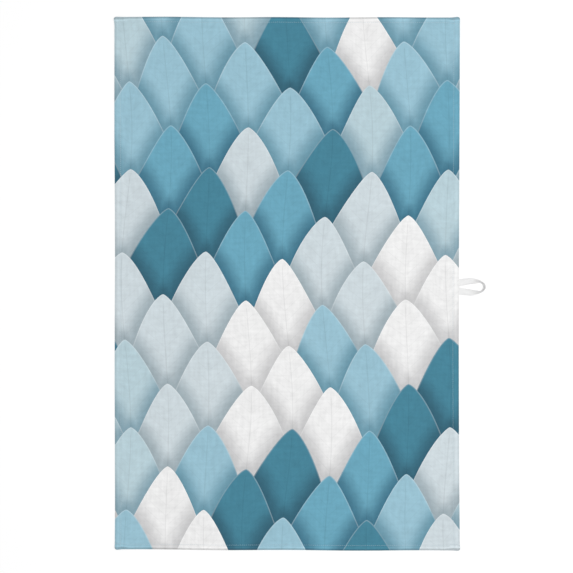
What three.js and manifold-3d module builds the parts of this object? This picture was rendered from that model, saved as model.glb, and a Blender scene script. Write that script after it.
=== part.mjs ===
// Tea towel: a cotton panel with double-turned hems and a tape loop sewn into its right-hand hem.
//
// It lies face up on a flat surface. Millimetres, X across the towel, Y along it, Z up.
// The origin is the middle of the panel, on the surface it lies on.
//
//   towel_cloth    the panel and its four hems, one sheet, thicker at the hems
//   hanging_loop   a tape bent into a loop: its ends lie flat under the hem, its bend stands on edge

import * as THREE from 'three';
import { mergeVertices } from 'three/addons/utils/BufferGeometryUtils.js';
import Module from 'manifold-3d';

// ---------------------------------------------------------------- driving dimensions

const PANEL_WIDTH = 480;
const PANEL_LENGTH = 741.6;
const CLOTH_THICKNESS = 1.0;
const HEM_THICKNESS = 2.0;
const SIDE_HEM = 8;
const END_HEM = 7;
const CORNER_RADIUS = 3;
const BODY_STEP = 22;

const TAPE_WIDTH = 10;
const TAPE_THICKNESS = 1.0;
const TAPE_CHAMFER = 0.25;
const LOOP_MIDDLE_Y = -4.8;
const LOOP_ROOT_HALF = 6.0;
const LOOP_BEND_HALF = 7.4;
const LOOP_BEND_START = 26.5;
const LOOP_BEND_REACH = 8.0;
const LOOP_BEND_POINT = 1.12;
const LOOP_TUCK = 7;
const LEG_STEPS = 12;
const BEND_STEPS = 14;
const PIECE_GAP = 0.31;

// The tape lies flat at the hem and leans up onto its edge on its way to the bend.
const LEAN = { from: 2, to: 32.5, degrees: 78 };

// How far each edge of the panel strays outwards: in the middle (bow), at its upper or right-hand end
// and as far inwards at the other end (tilt), and as a ripple.
const EDGE_WANDER = {
  left: { bow: -0.4, tilt: 0.3, ripple: 0.3, waveLength: 350, shift: 0.6 },
  right: { bow: -1.0, tilt: 0.1, ripple: 0.35, waveLength: 700, shift: 0.92 },
  top: { bow: -0.5, tilt: -0.4, ripple: 0.3, waveLength: 150, shift: 0.35 },
  bottom: { bow: 0.4, tilt: 0.9, ripple: 0.35, waveLength: 185, shift: 0.75 },
};

// Each corner leans out a little where the folded hem is stiffest.
const CORNER_FLARES = [
  { across: -1, along: 1, outX: 1.1, outY: 0.3 },
  { across: 1, along: 1, outX: 0.2, outY: 0.9 },
  { across: -1, along: -1, outX: 0.3, outY: 0.8 },
  { across: 1, along: -1, outX: 0.6, outY: 0.5 },
];
const FLARE_REACH = 12;

// Height of the hem across its width: inset from the edge, and its share of the extra thickness.
const HEM_PROFILE = [
  { inset: 0, share: 0.2 },
  { inset: 0.6, share: 0.8 },
  { inset: 2.4, share: 1 },
  { inset: 6.2, share: 0.85 },
  { inset: 9, share: 0 },
];
const RIM_LIFT = 0.6;

// Shallow places where the cloth doesn't quite lie down.
const SWELLS = [
  { x: -120, y: 236, reachX: 96, reachY: 40, turn: 24, rise: 0.8 },
  { x: 138, y: 142, reachX: 84, reachY: 46, turn: -32, rise: 0.7 },
  { x: -148, y: -60, reachX: 60, reachY: 118, turn: 12, rise: 0.6 },
  { x: 96, y: -168, reachX: 110, reachY: 44, turn: 18, rise: 0.8 },
  { x: -66, y: -288, reachX: 92, reachY: 38, turn: -14, rise: 0.6 },
];

// The hem rides up over each end of the tape.
const TAPE_BUMP = { reachX: 16, reachY: 13, rise: 0.7 };

const COLOURS = { cloth: 0x8fbccd, tape: 0xf1efea };

// ---------------------------------------------------------------- small helpers

function smoothStep(from, to, value) {
  const u = THREE.MathUtils.clamp((value - from) / (to - from), 0, 1);
  return u * u * (3 - 2 * u);
}

function softBump(distance) {
  const rest = Math.max(0, 1 - distance * distance);
  return rest * rest;
}

function meshFrom(name, positions, triangles, colour) {
  const geometry = new THREE.BufferGeometry();
  geometry.setAttribute('position', new THREE.Float32BufferAttribute(positions, 3));
  geometry.setIndex(triangles);
  geometry.computeVertexNormals();
  const material = new THREE.MeshStandardMaterial({ color: colour, roughness: 0.9, metalness: 0 });
  const mesh = new THREE.Mesh(geometry, material);
  mesh.name = name;
  return mesh;
}

// ---------------------------------------------------------------- the panel

function hemShare(inset) {
  const last = HEM_PROFILE.length - 1;
  for (let i = 0; i < last; i += 1) {
    const near = HEM_PROFILE[i];
    const far = HEM_PROFILE[i + 1];
    if (inset <= far.inset) {
      const u = (inset - near.inset) / (far.inset - near.inset);
      return THREE.MathUtils.lerp(near.share, far.share, u);
    }
  }
  return 0;
}

// The places across the sheet where its grid has a line: close together in the hems, even between.
function gridLines(size, hem) {
  const scale = hem / SIDE_HEM;
  const insets = HEM_PROFILE.map((row) => row.inset * scale);
  const clear = size - 2 * insets[insets.length - 1];
  const steps = Math.round(clear / BODY_STEP);
  const low = insets.map((inset) => inset - size / 2);
  const body = [];
  for (let i = 1; i < steps; i += 1) {
    body.push((i / steps - 0.5) * clear);
  }
  const high = [...low].reverse().map((place) => -place);
  return [...low, ...body, ...high];
}

function strayOut(edge, along, size) {
  const { bow, tilt, ripple, waveLength, shift } = EDGE_WANDER[edge];
  const reach = (2 * along) / size;
  const wave = Math.sin(2 * Math.PI * (along / waveLength + shift));
  return bow * (1 - reach * reach) + tilt * reach + ripple * wave;
}

// Moves a point of the true rectangle to where it lies, with the edges' wander and the corners' form.
function laidPlace(x, y) {
  const right = strayOut('right', y, PANEL_LENGTH);
  const left = strayOut('left', y, PANEL_LENGTH);
  const top = strayOut('top', x, PANEL_WIDTH);
  const bottom = strayOut('bottom', x, PANEL_WIDTH);
  const u = x / PANEL_WIDTH + 0.5;
  const v = y / PANEL_LENGTH + 0.5;
  let laidX = x + u * u * right - (1 - u) * (1 - u) * left;
  let laidY = y + v * v * top - (1 - v) * (1 - v) * bottom;
  for (const { across, along, outX, outY } of CORNER_FLARES) {
    const insetX = PANEL_WIDTH / 2 - across * x;
    const insetY = PANEL_LENGTH / 2 - along * y;
    const near = softBump(Math.min(1, Math.hypot(insetX, insetY) / FLARE_REACH));
    const roundX = Math.max(0, 1 - insetX / CORNER_RADIUS);
    const roundY = Math.max(0, 1 - insetY / CORNER_RADIUS);
    const pull = CORNER_RADIUS * (1 - Math.SQRT1_2) * roundX * roundY;
    laidX += across * (outX * near - pull);
    laidY += along * (outY * near - pull);
  }
  return { laidX, laidY };
}

function clothLift(x, y) {
  let lift = 0;
  for (const { x: middleX, y: middleY, reachX, reachY, turn, rise } of SWELLS) {
    const angle = THREE.MathUtils.degToRad(turn);
    const along = (x - middleX) * Math.cos(angle) + (y - middleY) * Math.sin(angle);
    const across = (y - middleY) * Math.cos(angle) - (x - middleX) * Math.sin(angle);
    lift += rise * softBump(Math.min(1, Math.hypot(along / reachX, across / reachY)));
  }
  return lift;
}

function tapeBump(x, y) {
  let bump = 0;
  for (const side of [-1, 1]) {
    const overX = (x - PANEL_WIDTH / 2) / TAPE_BUMP.reachX;
    const overY = (y - LOOP_MIDDLE_Y - side * LOOP_ROOT_HALF) / TAPE_BUMP.reachY;
    bump = Math.max(bump, softBump(Math.min(1, Math.hypot(overX, overY))));
  }
  return TAPE_BUMP.rise * bump;
}

function sheetHeights(x, y) {
  const insetX = PANEL_WIDTH / 2 - Math.abs(x);
  const insetY = (PANEL_LENGTH / 2 - Math.abs(y)) * (SIDE_HEM / END_HEM);
  const atRim = Math.min(insetX, insetY) <= 0;
  const share = atRim ? HEM_PROFILE[0].share : Math.max(hemShare(insetX), hemShare(insetY));
  const lift = clothLift(x, y);
  const under = lift + (atRim ? RIM_LIFT : 0);
  const over = lift + CLOTH_THICKNESS + (HEM_THICKNESS - CLOTH_THICKNESS) * share + tapeBump(x, y);
  return { under, over };
}

// One side of the rim, between two neighbouring points of the upper face and those below them.
function addWall(triangles, from, to, below) {
  triangles.push(from, below + from, below + to);
  triangles.push(from, below + to, to);
}

function panelSheet(name) {
  const columns = gridLines(PANEL_WIDTH, SIDE_HEM);
  const rows = gridLines(PANEL_LENGTH, END_HEM);
  const over = [];
  const under = [];
  for (const y of rows) {
    for (const x of columns) {
      const { laidX, laidY } = laidPlace(x, y);
      const heights = sheetHeights(x, y);
      over.push(laidX, laidY, heights.over);
      under.push(laidX, laidY, heights.under);
    }
  }
  const wide = columns.length;
  const tall = rows.length;
  const below = wide * tall;
  const triangles = [];
  for (let j = 0; j + 1 < tall; j += 1) {
    for (let i = 0; i + 1 < wide; i += 1) {
      const a = j * wide + i;
      const b = a + 1;
      const c = a + wide;
      const d = c + 1;
      triangles.push(a, b, d, a, d, c);
      triangles.push(below + a, below + d, below + b, below + a, below + c, below + d);
    }
  }
  for (let i = 0; i + 1 < wide; i += 1) {
    addWall(triangles, i, i + 1, below);
    addWall(triangles, (tall - 1) * wide + i + 1, (tall - 1) * wide + i, below);
  }
  for (let j = 0; j + 1 < tall; j += 1) {
    addWall(triangles, (j + 1) * wide, j * wide, below);
    addWall(triangles, (j + 1) * wide - 1, (j + 2) * wide - 1, below);
  }
  return meshFrom(name, [...over, ...under], triangles, COLOURS.cloth);
}

// ---------------------------------------------------------------- the loop

// The middle of the tape from the upper end, round the bend, to the lower end.
function loopStations() {
  const leg = [];
  for (let i = 0; i <= LEG_STEPS; i += 1) {
    const out = THREE.MathUtils.lerp(-LOOP_TUCK, LOOP_BEND_START, i / LEG_STEPS);
    const widen = smoothStep(0, LOOP_BEND_START, out);
    leg.push({ out, side: THREE.MathUtils.lerp(LOOP_ROOT_HALF, LOOP_BEND_HALF, widen) });
  }
  const bend = [];
  for (let i = 1; i < BEND_STEPS; i += 1) {
    const angle = Math.PI * (0.5 - i / BEND_STEPS);
    bend.push({
      out: LOOP_BEND_START + LOOP_BEND_REACH * Math.cos(angle) ** LOOP_BEND_POINT,
      side: LOOP_BEND_HALF * Math.sin(angle),
    });
  }
  const back = [...leg].reverse().map(({ out, side }) => ({ out, side: -side }));
  return [...leg, ...bend, ...back];
}

// The tape's section, anticlockwise: w across its width, t through its thickness.
function tapeSection() {
  const w = TAPE_WIDTH / 2;
  const t = TAPE_THICKNESS / 2;
  const c = TAPE_CHAMFER;
  return [
    { w: -w, t: c - t }, { w: c - w, t: -t }, { w: w - c, t: -t }, { w, t: c - t },
    { w, t: t - c }, { w: w - c, t }, { w: c - w, t }, { w: -w, t: t - c },
  ];
}

function tapeLoop(name) {
  const stations = loopStations();
  const section = tapeSection();
  const hemEdge = PANEL_WIDTH / 2;
  const positions = [];
  stations.forEach(({ out, side }, i) => {
    const before = stations[Math.max(0, i - 1)];
    const after = stations[Math.min(stations.length - 1, i + 1)];
    const heading = Math.atan2(after.side - before.side, after.out - before.out);
    const lean = THREE.MathUtils.degToRad(LEAN.degrees * smoothStep(LEAN.from, LEAN.to, out));
    const spots = section.map(({ w, t }) => ({
      left: w * Math.cos(lean) - t * Math.sin(lean),
      up: w * Math.sin(lean) + t * Math.cos(lean),
    }));
    const lowest = Math.min(...spots.map((spot) => spot.up));
    for (const { left, up } of spots) {
      positions.push(
        hemEdge + out - left * Math.sin(heading),
        LOOP_MIDDLE_Y + side + left * Math.cos(heading),
        up - lowest,
      );
    }
  });
  const around = section.length;
  const triangles = [];
  for (let i = 0; i + 1 < stations.length; i += 1) {
    for (let k = 0; k < around; k += 1) {
      const a = i * around + k;
      const b = i * around + ((k + 1) % around);
      triangles.push(a, b + around, a + around, a, b, b + around);
    }
  }
  const lastRing = (stations.length - 1) * around;
  for (let k = 1; k + 1 < around; k += 1) {
    triangles.push(0, k + 1, k);
    triangles.push(lastRing, lastRing + k, lastRing + k + 1);
  }
  return meshFrom(name, positions, triangles, COLOURS.tape);
}

// ---------------------------------------------------------------- the places for the tape's ends

function toSolid(wasm, mesh) {
  const geometry = mesh.geometry.clone().applyMatrix4(mesh.matrixWorld);
  geometry.deleteAttribute('normal');
  geometry.deleteAttribute('uv');
  const merged = mergeVertices(geometry);
  return new wasm.Manifold(new wasm.Mesh({
    numProp: 3,
    vertProperties: new Float32Array(merged.attributes.position.array),
    triVerts: new Uint32Array(merged.index.array),
  }));
}

// A box under the hem, a gap wider and taller than the tape's flat end.
function tapePlace(side) {
  const deep = LOOP_TUCK + PIECE_GAP;
  const past = CORNER_RADIUS;
  const wide = TAPE_WIDTH + 2 * PIECE_GAP;
  const tall = 2 * (TAPE_THICKNESS + PIECE_GAP);
  const place = new THREE.Mesh(new THREE.BoxGeometry(deep + past, wide, tall));
  place.position.set(
    PANEL_WIDTH / 2 + (past - deep) / 2,
    LOOP_MIDDLE_Y + side * LOOP_ROOT_HALF,
    0,
  );
  place.updateMatrixWorld();
  return place;
}

function withTapePlaces(wasm, sheet) {
  let solid = toSolid(wasm, sheet);
  for (const side of [-1, 1]) {
    solid = solid.subtract(toSolid(wasm, tapePlace(side)));
  }
  const { vertProperties, triVerts } = solid.getMesh();
  return meshFrom(sheet.name, [...vertProperties], [...triVerts], COLOURS.cloth);
}

// ---------------------------------------------------------------- the tea towel

const wasm = await Module();
wasm.setup();

const teaTowel = new THREE.Group();
teaTowel.name = 'tea_towel';
teaTowel.add(withTapePlaces(wasm, panelSheet('towel_cloth')));
teaTowel.add(tapeLoop('hanging_loop'));

export default teaTowel;
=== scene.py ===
"""A printed cotton tea towel with a tape hanging loop, laid flat and face up.

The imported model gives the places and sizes. Each sub-assembly is a class that builds its mesh and
dresses it, and each finish is a small frozen class that makes one material. All sizes are in metres.
"""

import logging
import math
from collections.abc import Sequence
from dataclasses import dataclass, field
from enum import Enum
from typing import TypeAlias

import bpy
import numpy as np
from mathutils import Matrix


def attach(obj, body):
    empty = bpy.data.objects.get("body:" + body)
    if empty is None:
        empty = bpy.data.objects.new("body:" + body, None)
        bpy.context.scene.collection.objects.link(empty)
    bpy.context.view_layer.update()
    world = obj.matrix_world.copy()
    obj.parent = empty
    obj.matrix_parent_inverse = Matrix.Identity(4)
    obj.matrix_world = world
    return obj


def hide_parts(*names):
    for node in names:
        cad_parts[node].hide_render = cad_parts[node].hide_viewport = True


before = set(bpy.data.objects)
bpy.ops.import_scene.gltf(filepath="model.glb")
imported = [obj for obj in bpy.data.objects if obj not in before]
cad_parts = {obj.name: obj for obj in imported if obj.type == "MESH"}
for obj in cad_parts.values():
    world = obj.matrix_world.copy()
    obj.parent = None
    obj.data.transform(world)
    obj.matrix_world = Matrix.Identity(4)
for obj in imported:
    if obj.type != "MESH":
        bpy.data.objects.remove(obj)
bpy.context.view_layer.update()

LOG = logging.getLogger("tea_towel")
MM = 0.001
SEED = 11
BODY = "root"
CLOTH_SPECULAR = 0.2
SHEEN_ROUGHNESS = 0.6

Numbers: TypeAlias = np.ndarray
Colour: TypeAlias = tuple[float, float, float]


def soft_step(start: float, stop: float, value: Numbers) -> Numbers:
    """Runs smoothly from 0 to 1.

    Args:
        start: where the step leaves 0.
        stop: where it reaches 1.
        value: the places to read it at.

    Returns:
        The step's height at each place.
    """
    share = np.clip((value - start) / (stop - start), 0.0, 1.0)
    return share * share * (3.0 - 2.0 * share)


def soft_bump(distance: Numbers) -> Numbers:
    """Gives a round hump, 1 at distance 0 and 0 from distance 1 on."""
    return np.clip(1.0 - distance**2, 0.0, None) ** 2


def linear(colour: Colour) -> tuple[float, float, float, float]:
    """Turns a display colour into the colour that a shader takes.

    Args:
        colour: the display colour, with parts from 0 to 255.

    Returns:
        The linear colour with parts from 0 to 1, and full cover.
    """
    parts = [c / 255.0 for c in colour]
    turned = [c / 12.92 if c <= 0.04045 else ((c + 0.055) / 1.055) ** 2.4 for c in parts]
    return (*turned, 1.0)


def distance_along(path: Numbers) -> Numbers:
    """Measures how far along a path each of its places is.

    Args:
        path: the places, one row each.

    Returns:
        The distances, from 0 at the first place.
    """
    steps = np.linalg.norm(np.diff(path, axis=0), axis=1)
    return np.concatenate([[0.0], np.cumsum(steps)])


# ------------------------------------------------------------------------------- nodes


@dataclass(frozen=True)
class Feel:
    """How a cloth takes the light.

    Attributes:
        rough: the roughness in its grooves.
        polish: how much smoother its crowns are.
        deep: how deep its relief is.
        sheen: how much its fibres catch light at a slant.
    """

    rough: float
    polish: float
    deep: float
    sheen: float


class Signal:
    """A value in a material's nodes that takes ordinary arithmetic."""

    def __init__(self, bench: "Bench", socket: bpy.types.NodeSocket) -> None:
        """Keeps the output socket that carries the value, and the bench it belongs to."""
        self.bench = bench
        self.socket = socket

    def __add__(self, other: "Signal | float") -> "Signal":
        """Adds a value."""
        return self.bench.math("ADD", self, other)

    def __sub__(self, other: "Signal | float") -> "Signal":
        """Takes a value away."""
        return self.bench.math("SUBTRACT", self, other)

    def __rsub__(self, other: float) -> "Signal":
        """Takes this value away from a number."""
        return self.bench.math("SUBTRACT", other, self)

    def __mul__(self, other: "Signal | float") -> "Signal":
        """Multiplies by a value."""
        return self.bench.math("MULTIPLY", self, other)

    def __truediv__(self, other: "Signal | float") -> "Signal":
        """Divides by a value."""
        return self.bench.math("DIVIDE", self, other)

    def __pow__(self, other: float) -> "Signal":
        """Raises to a power."""
        return self.bench.math("POWER", self, other)

    def __lt__(self, other: "Signal | float") -> "Signal":
        """Gives 1 where this value is the smaller one, and 0 elsewhere."""
        return self.bench.math("LESS_THAN", self, other)

    def __mod__(self, other: float) -> "Signal":
        """Gives the remainder, which is never negative."""
        return self.bench.math("FLOORED_MODULO", self, other)

    def floor(self) -> "Signal":
        """Rounds down."""
        return self.bench.math("FLOOR", self)

    def size(self) -> "Signal":
        """Drops the sign."""
        return self.bench.math("ABSOLUTE", self)

    def sine(self) -> "Signal":
        """Takes the sine of an angle in radians."""
        return self.bench.math("SINE", self)


class Bench:
    """A material's node tree with a short word for each kind of node that the finishes use."""

    def __init__(self, name: str) -> None:
        """Makes an empty material.

        Args:
            name: the material's name.
        """
        self.material = bpy.data.materials.new(name)
        self.material.use_nodes = True
        self.tree = self.material.node_tree
        self.tree.nodes.clear()

    def node(self, kind: str, **settings: object) -> bpy.types.Node:
        """Adds a node.

        Args:
            kind: Blender's name for the node.
            settings: the node's own settings.

        Returns:
            The new node.
        """
        made = self.tree.nodes.new(kind)
        for key, value in settings.items():
            setattr(made, key, value)
        return made

    def feed(self, target: bpy.types.NodeSocket, value: "Signal | float | tuple") -> None:
        """Links a signal to an input, or sets the input to a plain value.

        Args:
            target: the input socket.
            value: a signal, a number or a colour.
        """
        if isinstance(value, Signal):
            self.tree.links.new(value.socket, target)
        else:
            target.default_value = value

    def math(self, operation: str, *values: "Signal | float") -> Signal:
        """Works out one operation.

        Args:
            operation: Blender's name for it.
            values: the one to three values that it takes.

        Returns:
            Its result.
        """
        made = self.node("ShaderNodeMath", operation=operation)
        for target, value in zip(made.inputs, values):
            self.feed(target, value)
        return Signal(self, made.outputs[0])

    def mapped(self, value: Signal, start: float, stop: float) -> Signal:
        """Runs smoothly from 0 to 1.

        Args:
            value: the place along the run.
            start: where the run leaves 0.
            stop: where it reaches 1.

        Returns:
            The height there.
        """
        made = self.node("ShaderNodeMapRange", interpolation_type="SMOOTHSTEP")
        self.feed(made.inputs["Value"], value)
        made.inputs["From Min"].default_value = start
        made.inputs["From Max"].default_value = stop
        return Signal(self, made.outputs["Result"])

    def vector(self, x: "Signal | float", y: "Signal | float", z: "Signal | float" = 0.0) -> Signal:
        """Joins three values into a vector.

        Args:
            x: the first value.
            y: the second value.
            z: the third value.

        Returns:
            The vector.
        """
        made = self.node("ShaderNodeCombineXYZ")
        for target, value in zip(made.inputs, (x, y, z)):
            self.feed(target, value)
        return Signal(self, made.outputs[0])

    def map_places(self, layer: str) -> tuple[Signal, Signal]:
        """Reads the two coordinates of a map that the mesh carries.

        Args:
            layer: the map's name.

        Returns:
            Its first and second coordinate.
        """
        made = self.node("ShaderNodeUVMap", uv_map=layer)
        split = self.node("ShaderNodeSeparateXYZ")
        self.tree.links.new(made.outputs[0], split.inputs[0])
        return Signal(self, split.outputs[0]), Signal(self, split.outputs[1])

    def noise(self, place: Signal, scale: float, detail: float = 2.0) -> Signal:
        """Reads soft noise around one half.

        Args:
            place: the vector to read it at.
            scale: how many humps fit in a metre of that vector.
            detail: how many finer layers are added.

        Returns:
            The noise.
        """
        made = self.node("ShaderNodeTexNoise", noise_dimensions="2D")
        self.feed(made.inputs["Vector"], place)
        made.inputs["Scale"].default_value = scale
        made.inputs["Detail"].default_value = detail
        return Signal(self, made.outputs[0])

    def chance(self, place: Signal) -> Signal:
        """Draws a number for each whole-numbered place.

        Args:
            place: the vector of whole numbers.

        Returns:
            That place's own number, from 0 to 1.
        """
        made = self.node("ShaderNodeTexWhiteNoise", noise_dimensions="2D")
        self.feed(made.inputs["Vector"], place)
        return Signal(self, made.outputs["Value"])

    def steps(self, value: Signal, colours: Sequence[Colour]) -> Signal:
        """Picks one of several colours, each for an equal share of 0 to 1.

        Args:
            value: what picks the colour.
            colours: the colours in order.

        Returns:
            The colour picked.
        """
        made = self.node("ShaderNodeValToRGB")
        made.color_ramp.interpolation = "CONSTANT"
        stops = made.color_ramp.elements
        stops[0].color = linear(colours[0])
        stops[1].position = 1.0 / len(colours)
        stops[1].color = linear(colours[1])
        for i, colour in enumerate(colours[2:], start=2):
            stops.new(i / len(colours)).color = linear(colour)
        self.feed(made.inputs[0], value)
        return Signal(self, made.outputs[0])

    def mix(self, share: "Signal | float", a: "Signal | tuple", b: "Signal | tuple") -> Signal:
        """Mixes two colours.

        Args:
            share: 0 for all of a, 1 for all of b.
            a: the first colour.
            b: the second colour.

        Returns:
            The mixed colour.
        """
        made = self.node("ShaderNodeMix", data_type="RGBA")
        self.feed(made.inputs[0], share)
        self.feed(made.inputs[6], a)
        self.feed(made.inputs[7], b)
        return Signal(self, made.outputs[2])

    def shaded(self, colour: "Signal | tuple", factor: Signal) -> Signal:
        """Multiplies a colour by a plain value.

        Args:
            colour: the colour.
            factor: the value, 1 for no change.

        Returns:
            The lighter or darker colour.
        """
        made = self.node("ShaderNodeVectorMath", operation="SCALE")
        self.feed(made.inputs[0], colour)
        self.feed(made.inputs["Scale"], factor)
        return Signal(self, made.outputs[0])

    def cloth(self, colour: Signal, relief: Signal, feel: Feel) -> bpy.types.Material:
        """Finishes the material as matt cloth.

        Args:
            colour: the cloth's colour.
            relief: its fine relief, from 0 to 1.
            feel: its roughness, depth and sheen.

        Returns:
            The finished material.
        """
        bump = self.node("ShaderNodeBump")
        bump.inputs["Distance"].default_value = feel.deep
        self.feed(bump.inputs["Height"], relief)
        shader = self.node("ShaderNodeBsdfPrincipled")
        self.feed(shader.inputs["Base Color"], colour)
        self.feed(shader.inputs["Roughness"], relief * -feel.polish + feel.rough)
        self.tree.links.new(bump.outputs[0], shader.inputs["Normal"])
        shader.inputs["Specular IOR Level"].default_value = CLOTH_SPECULAR
        shader.inputs["Sheen Weight"].default_value = feel.sheen
        shader.inputs["Sheen Roughness"].default_value = SHEEN_ROUGHNESS
        out = self.node("ShaderNodeOutputMaterial")
        self.tree.links.new(shader.outputs[0], out.inputs[0])
        return self.material


# ------------------------------------------------------------------------------- finishes


class Ink(Enum):
    """The print's colours: the open face of a leaf, and the same ink in shade."""

    DEEP = ((68, 130, 151), (49, 97, 116))
    MID = ((106, 166, 188), (64, 117, 139))
    LIGHT = ((152, 192, 208), (105, 150, 168))
    PALE_BLUE = ((183, 206, 214), (132, 162, 175))
    GREY = ((204, 215, 220), (158, 173, 180))
    WHITE = ((237, 237, 237), (200, 200, 201))

    @property
    def face(self) -> Colour:
        """The ink in the open."""
        return self.value[0]

    @property
    def shade(self) -> Colour:
        """The ink in shade."""
        return self.value[1]


@dataclass(frozen=True)
class Sway:
    """One slow wave that bends the print.

    Attributes:
        across_rate: radians for each metre across the cloth.
        along_rate: radians for each metre along it.
        shift: the wave's angle at the cloth's middle.
        share: its height against the other waves'.
    """

    across_rate: float = 0.0
    along_rate: float = 0.0
    shift: float = 0.0
    share: float = 1.0

    def at(self, across: Signal, along: Signal) -> Signal:
        """Gives the wave's height at a place."""
        return (across * self.across_rate + along * self.along_rate + self.shift).sine() * self.share


@dataclass(frozen=True)
class LeafPrint:
    """Overlapping leaves in half-drop rows, each in one ink, shaded where the next row covers them.

    Attributes:
        shoulder: how far above its row's line a leaf's side has its edge.
        taper: the shape of the edge from there to the tip: 1 is straight, 2 is round.
        first_row: how far below the cloth's middle row 0 has its line.
        sway: how far the waves bend the print.
        shade_reach: how far back a covering leaf's shade reaches.
        rim: where, in from a leaf's edge, its light rim starts to fade and where it ends.
        rib: the midrib's half width, inside and outside its soft edge.
        rib_start: where the midrib begins, in from the leaf's edge, and where it is full.
        vein: a side vein's half width, inside and outside its soft edge.
        vein_start: where the side veins begin, in from the leaf's edge, and where they are full.
        vein_slope: how far a side vein climbs, for how far it goes out.
        vein_share: a side vein's strength against the midrib's.
        line_dark: how much darker the midrib is than the ink.
        row_stride: how many inks the choice moves on from row to row.
        leaf_stride: how many it moves on from leaf to leaf.
    """

    leaf_width: float = 112 * MM
    leaf_height: float = 108 * MM
    shoulder: float = 14 * MM
    taper: float = 1.45
    row_step: float = 60 * MM
    first_row: float = 370 * MM
    sway: float = 5 * MM
    sways_across: tuple[Sway, Sway] = (
        Sway(along_rate=16.3934, shift=1.3),
        Sway(across_rate=21.2766, along_rate=12.0482, shift=0.4, share=0.6),
    )
    sways_along: tuple[Sway, Sway] = (
        Sway(across_rate=14.0845, shift=0.7),
        Sway(across_rate=-10.9890, along_rate=17.5439, shift=2.1, share=0.6),
    )
    shade_reach: float = 25 * MM
    rim: tuple[float, float] = (0.4 * MM, 2.0 * MM)
    rim_light: float = 0.16
    rib: tuple[float, float] = (0.3 * MM, 1.0 * MM)
    rib_start: tuple[float, float] = (4 * MM, 14 * MM)
    vein: tuple[float, float] = (0.25 * MM, 0.8 * MM)
    vein_start: tuple[float, float] = (5 * MM, 12 * MM)
    vein_step: float = 15 * MM
    vein_slope: float = 0.9
    vein_share: float = 0.55
    line_dark: float = 0.1
    inks: tuple[Ink, ...] = (
        Ink.WHITE, Ink.MID, Ink.GREY, Ink.LIGHT, Ink.DEEP,
        Ink.PALE_BLUE, Ink.WHITE, Ink.LIGHT, Ink.GREY, Ink.PALE_BLUE,
    )
    row_stride: int = 3
    leaf_stride: int = 7

    def swayed(self, across: Signal, along: Signal) -> tuple[Signal, Signal]:
        """Bends the print's straight rows and columns a little, so that no two leaves are alike.

        Args:
            across: place across the cut cloth.
            along: place along the cut cloth.

        Returns:
            The bent places, measured from the print's first row.
        """
        first, second = self.sways_across
        x = across + (first.at(across, along) + second.at(across, along)) * self.sway
        first, second = self.sways_along
        y = along + (first.at(across, along) + second.at(across, along)) * self.sway
        return x, y + self.first_row

    def colour(self, bench: Bench, across: Signal, along: Signal) -> Signal:
        """Works out the print's colour.

        Each place belongs to the first row, from the front, whose leaf reaches above it. The row in
        front of the nearest one never covers the place, and only casts its shade there.

        Args:
            bench: the material being made.
            across: place across the cut cloth.
            along: place along the cut cloth.

        Returns:
            The colour there.
        """
        x, y = self.swayed(across, along)
        rise = self.leaf_height - self.shoulder
        nearest = ((y - self.leaf_height) / self.row_step).floor() + 1.0
        uncovered = nearest * 0.0 + 1.0
        row = leaf = aside = inside = uncovered * 0.0
        shade_gap = uncovered
        rows = math.ceil(rise / self.row_step) + 1
        for i in range(-1, rows):
            k = nearest + float(i)
            place = x / self.leaf_width + (k % 2.0) * 0.5
            j = place.floor()
            off = ((place - j) * 2.0 - 1.0).size()
            top = k * self.row_step + self.leaf_height - (off ** self.taper) * rise
            slope = (off ** (self.taper - 1.0)) * (rise * self.taper * 2.0 / self.leaf_width)
            gap = (y - top) / ((slope * slope + 1.0) ** 0.5)
            if i >= 0:
                hit = uncovered * (y < top)
                row = row + hit * k
                leaf = leaf + hit * j
                aside = aside + hit * off
                inside = inside - hit * gap
                uncovered = uncovered - hit
            covered = 1.0 - uncovered
            shade_gap = bench.math("MINIMUM", shade_gap, gap.size() + covered)
        printed = self.inked(bench, row, leaf, 1.0 - bench.mapped(shade_gap, 0.0, self.shade_reach))
        rim = (1.0 - bench.mapped(inside, *self.rim)) * self.rim_light
        printed = bench.mix(rim, printed, (1.0, 1.0, 1.0, 1.0))
        return bench.shaded(printed, 1.0 - self.veins(bench, y, row, aside, inside) * self.line_dark)

    def inked(self, bench: Bench, row: Signal, leaf: Signal, dark: Signal) -> Signal:
        """Picks each leaf's ink and shades it.

        Args:
            bench: the material being made.
            row: the leaf's row.
            leaf: its number in that row.
            dark: how deep in shade the place is, from 0 to 1.

        Returns:
            The ink's colour there.
        """
        pick = (bench.chance(bench.vector(row, leaf)) * 2.0).floor()
        turn = (row * float(self.row_stride) + leaf * float(self.leaf_stride) + pick) % len(self.inks)
        which = (turn + 0.5) / len(self.inks)
        face = bench.steps(which, [ink.face for ink in self.inks])
        shade = bench.steps(which, [ink.shade for ink in self.inks])
        return bench.mix(dark, face, shade)

    def veins(self, bench: Bench, y: Signal, row: Signal, aside: Signal, inside: Signal) -> Signal:
        """Draws each leaf's midrib and side veins as fine lines.

        Args:
            bench: the material being made.
            y: the bent place along the cloth.
            row: the leaf's row.
            aside: how far the place is from the midrib, 1 at the leaf's side.
            inside: how far the place is inside the leaf's edge.

        Returns:
            1 on a line and 0 off it.
        """
        out = aside * (self.leaf_width / 2.0)
        rib = (1.0 - bench.mapped(out, *self.rib)) * bench.mapped(inside, *self.rib_start)
        run = (y - row * self.row_step - out * self.vein_slope) % self.vein_step
        line = (run - self.vein_step / 2.0).size()
        side = (1.0 - bench.mapped(line, *self.vein)) * bench.mapped(inside, *self.vein_start)
        return bench.math("MAXIMUM", rib, side * self.vein_share)


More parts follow.
